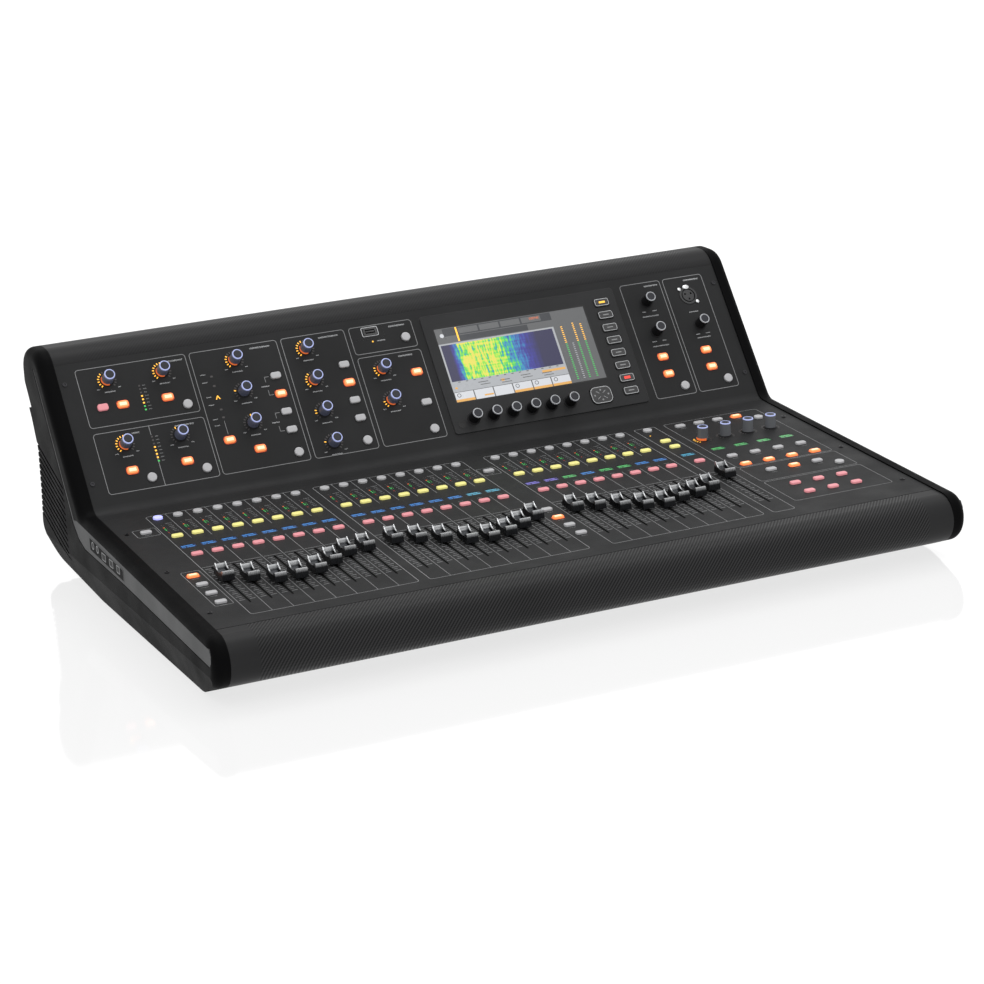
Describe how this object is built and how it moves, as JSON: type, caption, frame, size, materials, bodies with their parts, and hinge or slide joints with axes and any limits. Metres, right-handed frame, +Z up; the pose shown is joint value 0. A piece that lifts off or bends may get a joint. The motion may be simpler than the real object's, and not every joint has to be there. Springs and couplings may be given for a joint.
{
  "type": "mixing console",
  "caption": "Digital mixing console: a low deck of motorised faders and lit keys, a raised control panel with encoders and a colour screen, a padded front edge and a rolled rear cowl.",
  "frame": {"origin": "under the middle of the console, on the surface its feet stand on", "axes": "+X to the operator's right, +Y to the rear, +Z up"},
  "size_m": [0.891, 0.612, 0.256],
  "materials": {
    "chassis_steel": "black powder coat",
    "moulding_black": "black moulded plastic with a fine woven print",
    "trim_grey": "light grey satin",
    "panel_charcoal": "charcoal matt paint with light grey printed lines",
    "bezel_grey": "dark grey satin",
    "screen": "lit colour screen behind a clear cover",
    "channel_screen": "lit channel display",
    "socket_black": "black socket moulding",
    "supply_aluminium": "plain aluminium",
    "board_green": "green circuit board",
    "track_steel": "plain steel",
    "foot_rubber": "black rubber",
    "screw_steel": "blackened steel",
    "key_grey": "translucent grey silicone",
    "key_yellow": "translucent yellow silicone",
    "key_pink": "translucent pink silicone",
    "key_orange": "translucent orange silicone",
    "key_black": "black key with a light outline",
    "knob_smoke": "smoky translucent barrel with a lit rim",
    "knob_black": "black barrel with a grey rim",
    "fader_silver": "silver metallic plastic"
  },
  "bodies": {
    "console": {"base_chassis": "chassis_steel", "front_bolster": "moulding_black", "end_cheek_left": "moulding_black", "end_cheek_right": "moulding_black", "side_trim_plates": "trim_grey", "rear_cowl": "moulding_black", "fader_deck": "panel_charcoal", "upper_panel": "panel_charcoal", "rear_panel": "panel_charcoal", "display_bezel": "bezel_grey", "display_glass": "screen", "scribble_displays": "channel_screen", "xlr_sockets": "socket_black", "data_sockets": "socket_black", "power_inlet": "socket_black", "power_supply": "supply_aluminium", "circuit_boards": "board_green", "fader_tracks": "track_steel", "rubber_feet": "foot_rubber", "panel_screws": "screw_steel"},
    "select_keys_body": {"select_keys": "key_grey"},
    "solo_keys_body": {"solo_keys": "key_yellow"},
    "mute_keys_body": {"mute_keys": "key_pink"},
    "deck_keys_body": {"deck_keys": "key_grey"},
    "upper_keys_body": {"upper_keys": "key_orange"},
    "display_keys_body": {"display_keys": "key_black"},
    "assign_encoders_body": {"assign_encoders": "knob_smoke"},
    "upper_encoders_body": {"upper_encoders": "knob_black"},
    "gain_knob_body": {"gain_knob": "knob_smoke"},
    "gate_knob_body": {"gate_knob": "knob_smoke"},
    "equaliser_knob_body": {"equaliser_knob": "knob_smoke"},
    "main_level_knob_body": {"main_level_knob": "knob_smoke"},
    "monitor_knob_body": {"monitor_knob": "knob_black"},
    "talkback_knob_body": {"talkback_knob": "knob_black"},
    "power_switch_body": {"power_switch": "key_black"},
    "fader_01_body": {"fader_01": "fader_silver"},
    "fader_02_body": {"fader_02": "fader_silver"},
    "fader_03_body": {"fader_03": "fader_silver"},
    "fader_04_body": {"fader_04": "fader_silver"},
    "fader_05_body": {"fader_05": "fader_silver"},
    "fader_06_body": {"fader_06": "fader_silver"},
    "fader_07_body": {"fader_07": "fader_silver"},
    "fader_08_body": {"fader_08": "fader_silver"},
    "fader_09_body": {"fader_09": "fader_silver"},
    "fader_10_body": {"fader_10": "fader_silver"},
    "fader_11_body": {"fader_11": "fader_silver"},
    "fader_12_body": {"fader_12": "fader_silver"},
    "fader_13_body": {"fader_13": "fader_silver"},
    "fader_14_body": {"fader_14": "fader_silver"},
    "fader_15_body": {"fader_15": "fader_silver"},
    "fader_16_body": {"fader_16": "fader_silver"},
    "fader_17_body": {"fader_17": "fader_silver"},
    "fader_18_body": {"fader_18": "fader_silver"},
    "fader_19_body": {"fader_19": "fader_silver"},
    "fader_20_body": {"fader_20": "fader_silver"},
    "fader_21_body": {"fader_21": "fader_silver"},
    "fader_22_body": {"fader_22": "fader_silver"},
    "fader_23_body": {"fader_23": "fader_silver"},
    "fader_24_body": {"fader_24": "fader_silver"},
    "fader_main_body": {"fader_main": "fader_silver"}
  },
  "joints": [
    {"name": "select_keys_press", "type": "slide", "parent": "console", "child": "select_keys_body", "axis": [0, -0.0436, 0.999], "range_m": [-0.0008, 0], "stiffness_N_per_m": 1500, "springref_m": 0.001},
    {"name": "solo_keys_press", "type": "slide", "parent": "console", "child": "solo_keys_body", "axis": [0, -0.0436, 0.999], "range_m": [-0.0008, 0], "stiffness_N_per_m": 1500, "springref_m": 0.001},
    {"name": "mute_keys_press", "type": "slide", "parent": "console", "child": "mute_keys_body", "axis": [0, -0.0436, 0.999], "range_m": [-0.0008, 0], "stiffness_N_per_m": 1500, "springref_m": 0.001},
    {"name": "deck_keys_press", "type": "slide", "parent": "console", "child": "deck_keys_body", "axis": [0, -0.0436, 0.999], "range_m": [-0.0008, 0], "stiffness_N_per_m": 1500, "springref_m": 0.001},
    {"name": "upper_keys_press", "type": "slide", "parent": "console", "child": "upper_keys_body", "axis": [0, -0.7986, 0.6018], "range_m": [-0.0008, 0], "stiffness_N_per_m": 1500, "springref_m": 0.001},
    {"name": "display_keys_press", "type": "slide", "parent": "console", "child": "display_keys_body", "axis": [0, -0.7986, 0.6018], "range_m": [-0.0008, 0], "stiffness_N_per_m": 1500, "springref_m": 0.001},
    {"name": "assign_encoders_press", "type": "slide", "parent": "console", "child": "assign_encoders_body", "axis": [0, -0.0436, 0.999], "range_m": [-0.0005, 0], "stiffness_N_per_m": 1500, "springref_m": 0.001},
    {"name": "upper_encoders_press", "type": "slide", "parent": "console", "child": "upper_encoders_body", "axis": [0, -0.7986, 0.6018], "range_m": [-0.0005, 0], "stiffness_N_per_m": 1500, "springref_m": 0.001},
    {"name": "gain_knob_turn", "type": "hinge", "parent": "console", "child": "gain_knob_body", "pos_m": [-0.371, 0.21192, 0.22446], "axis": [0, -0.7986, 0.6018], "continuous": true},
    {"name": "gate_knob_turn", "type": "hinge", "parent": "console", "child": "gate_knob_body", "pos_m": [-0.371, 0.16329, 0.15993], "axis": [0, -0.7986, 0.6018], "continuous": true},
    {"name": "equaliser_knob_turn", "type": "hinge", "parent": "console", "child": "equaliser_knob_body", "pos_m": [-0.2165, 0.18761, 0.19219], "axis": [0, -0.7986, 0.6018], "continuous": true},
    {"name": "main_level_knob_turn", "type": "hinge", "parent": "console", "child": "main_level_knob_body", "pos_m": [-0.0415, 0.18761, 0.19219], "axis": [0, -0.7986, 0.6018], "continuous": true},
    {"name": "monitor_knob_turn", "type": "hinge", "parent": "console", "child": "monitor_knob_body", "pos_m": [0.3218, 0.20638, 0.21711], "axis": [0, -0.7986, 0.6018], "range_deg": [-150, 150]},
    {"name": "talkback_knob_turn", "type": "hinge", "parent": "console", "child": "talkback_knob_body", "pos_m": [0.383, 0.18231, 0.18516], "axis": [0, -0.7986, 0.6018], "range_deg": [-150, 150]},
    {"name": "power_switch_tilt", "type": "hinge", "parent": "console", "child": "power_switch_body", "pos_m": [-0.35, 0.2575, 0.088], "axis": [1, 0, 0], "range_deg": [-12, 0]},
    {"name": "fader_01_slide", "type": "slide", "parent": "console", "child": "fader_01_body", "axis": [0, 0.999, 0.0436], "range_m": [-0.06875, 0.03125]},
    {"name": "fader_02_slide", "type": "slide", "parent": "console", "child": "fader_02_body", "axis": [0, 0.999, 0.0436], "range_m": [-0.05475, 0.04525]},
    {"name": "fader_03_slide", "type": "slide", "parent": "console", "child": "fader_03_body", "axis": [0, 0.999, 0.0436], "range_m": [-0.03775, 0.06225]},
    {"name": "fader_04_slide", "type": "slide", "parent": "console", "child": "fader_04_body", "axis": [0, 0.999, 0.0436], "range_m": [-0.03775, 0.06225]},
    {"name": "fader_05_slide", "type": "slide", "parent": "console", "child": "fader_05_body", "axis": [0, 0.999, 0.0436], "range_m": [-0.04175, 0.05825]},
    {"name": "fader_06_slide", "type": "slide", "parent": "console", "child": "fader_06_body", "axis": [0, 0.999, 0.0436], "range_m": [-0.05775, 0.04225]},
    {"name": "fader_07_slide", "type": "slide", "parent": "console", "child": "fader_07_body", "axis": [0, 0.999, 0.0436], "range_m": [-0.07475, 0.02525]},
    {"name": "fader_08_slide", "type": "slide", "parent": "console", "child": "fader_08_body", "axis": [0, 0.999, 0.0436], "range_m": [-0.07875, 0.02125]},
    {"name": "fader_09_slide", "type": "slide", "parent": "console", "child": "fader_09_body", "axis": [0, 0.999, 0.0436], "range_m": [-0.08475, 0.01525]},
    {"name": "fader_10_slide", "type": "slide", "parent": "console", "child": "fader_10_body", "axis": [0, 0.999, 0.0436], "range_m": [-0.07375, 0.02625]},
    {"name": "fader_11_slide", "type": "slide", "parent": "console", "child": "fader_11_body", "axis": [0, 0.999, 0.0436], "range_m": [-0.06075, 0.03925]},
    {"name": "fader_12_slide", "type": "slide", "parent": "console", "child": "fader_12_body", "axis": [0, 0.999, 0.0436], "range_m": [-0.04475, 0.05525]},
    {"name": "fader_13_slide", "type": "slide", "parent": "console", "child": "fader_13_body", "axis": [0, 0.999, 0.0436], "range_m": [-0.03875, 0.06125]},
    {"name": "fader_14_slide", "type": "slide", "parent": "console", "child": "fader_14_body", "axis": [0, 0.999, 0.0436], "range_m": [-0.04575, 0.05425]},
    {"name": "fader_15_slide", "type": "slide", "parent": "console", "child": "fader_15_body", "axis": [0, 0.999, 0.0436], "range_m": [-0.05975, 0.04025]},
    {"name": "fader_16_slide", "type": "slide", "parent": "console", "child": "fader_16_body", "axis": [0, 0.999, 0.0436], "range_m": [-0.07575, 0.02425]},
    {"name": "fader_17_slide", "type": "slide", "parent": "console", "child": "fader_17_body", "axis": [0, 0.999, 0.0436], "range_m": [-0.07875, 0.02125]},
    {"name": "fader_18_slide", "type": "slide", "parent": "console", "child": "fader_18_body", "axis": [0, 0.999, 0.0436], "range_m": [-0.07075, 0.02925]},
    {"name": "fader_19_slide", "type": "slide", "parent": "console", "child": "fader_19_body", "axis": [0, 0.999, 0.0436], "range_m": [-0.05575, 0.04425]},
    {"name": "fader_20_slide", "type": "slide", "parent": "console", "child": "fader_20_body", "axis": [0, 0.999, 0.0436], "range_m": [-0.04575, 0.05425]},
    {"name": "fader_21_slide", "type": "slide", "parent": "console", "child": "fader_21_body", "axis": [0, 0.999, 0.0436], "range_m": [-0.03975, 0.06025]},
    {"name": "fader_22_slide", "type": "slide", "parent": "console", "child": "fader_22_body", "axis": [0, 0.999, 0.0436], "range_m": [-0.04975, 0.05025]},
    {"name": "fader_23_slide", "type": "slide", "parent": "console", "child": "fader_23_body", "axis": [0, 0.999, 0.0436], "range_m": [-0.05375, 0.04625]},
    {"name": "fader_24_slide", "type": "slide", "parent": "console", "child": "fader_24_body", "axis": [0, 0.999, 0.0436], "range_m": [-0.06475, 0.03525]},
    {"name": "fader_main_slide", "type": "slide", "parent": "console", "child": "fader_main_body", "axis": [0, 0.999, 0.0436], "range_m": [-0.09375, 0.00625]}
  ]
}
